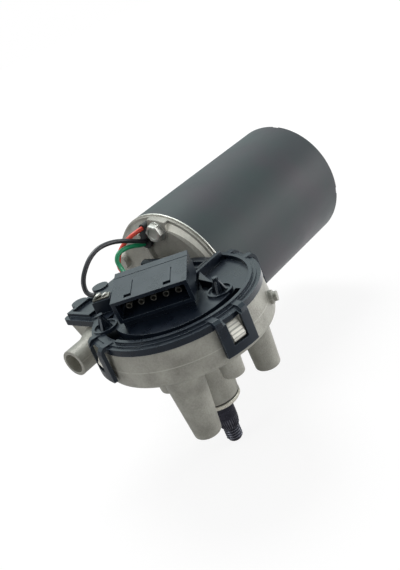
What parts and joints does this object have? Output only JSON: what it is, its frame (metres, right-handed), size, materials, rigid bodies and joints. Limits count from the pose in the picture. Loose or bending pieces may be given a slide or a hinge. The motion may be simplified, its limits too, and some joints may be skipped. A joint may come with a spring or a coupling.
{
  "type": "wiper motor",
  "caption": "Wiper motor: worm gear head with a plug connector and park switch under a black cover, driven by a round can motor, output spindle below.",
  "frame": {"origin": "on the output spindle axis, at the plane of the three mounting boss tips", "axes": "+X along the armature axis towards the can, +Z towards the cover, the spindle points to -Z"},
  "size_m": [0.206, 0.1289, 0.115],
  "materials": {
    "cast_aluminium": "bead blasted casting",
    "black_plastic": "moulded, matt",
    "white_plastic": "moulded, matt",
    "wheel_plastic": "moulded, matt",
    "phenolic": "pressed, matt",
    "black_painted_steel": "satin paint",
    "zinc_steel": "zinc plated",
    "bright_steel": "ground",
    "black_oxide_steel": "black oxide",
    "laminations": "stamped sheet",
    "ferrite": "ground ceramic magnet",
    "sintered_bronze": "sintered",
    "spring_bronze": "rolled strip",
    "tinned_brass": "tin plated",
    "copper": "turned",
    "enamelled_copper": "enamelled wire",
    "carbon": "pressed carbon",
    "black_rubber": "moulded",
    "black_insulation": "extruded",
    "green_insulation": "extruded",
    "red_insulation": "extruded"
  },
  "bodies": {
    "housing": {"gear_housing": "cast_aluminium", "cover": "black_plastic", "cover_gasket": "black_rubber", "connector_header": "black_plastic", "connector_pins": "tinned_brass", "contact_fingers": "spring_bronze", "lead_tab": "tinned_brass", "motor_can": "black_painted_steel", "rear_end_plate": "zinc_steel", "rear_bush": "sintered_bronze", "field_magnets": "ferrite", "brush_plate": "phenolic", "brush_boxes": "tinned_brass", "brushes": "carbon", "brush_springs": "zinc_steel", "bearing_outer_race": "bright_steel", "bearing_balls": "bright_steel", "worm_end_bush": "sintered_bronze", "thrust_ball": "bright_steel", "end_stop": "white_plastic", "upper_output_bush": "sintered_bronze", "lower_output_bush": "sintered_bronze", "shaft_seal": "black_rubber", "flange_screws": "zinc_steel", "lead_grommet": "black_rubber", "lead_black": "black_insulation", "lead_green": "green_insulation", "lead_red": "red_insulation"},
    "armature": {"armature_shaft": "bright_steel", "armature_core": "laminations", "armature_windings": "enamelled_copper", "commutator": "copper", "bearing_inner_race": "bright_steel"},
    "output": {"worm_wheel": "wheel_plastic", "wheel_hub": "bright_steel", "park_contact_ring": "spring_bronze", "output_shaft": "black_oxide_steel", "thrust_washer": "bright_steel", "hub_washer": "bright_steel", "shaft_circlips": "black_oxide_steel"}
  },
  "joints": [
    {"name": "armature_spin", "type": "hinge", "parent": "housing", "child": "armature", "pos_m": [0, 0.043, 0.044], "axis": [1, 0, 0], "continuous": true},
    {"name": "output_spin", "type": "hinge", "parent": "housing", "child": "output", "pos_m": [0, 0, 0], "axis": [0, 0, 1], "continuous": true}
  ],
  "couplings": [
    {"joint": "output_spin", "follows": "armature_spin", "ratio": 0.016667}
  ]
}
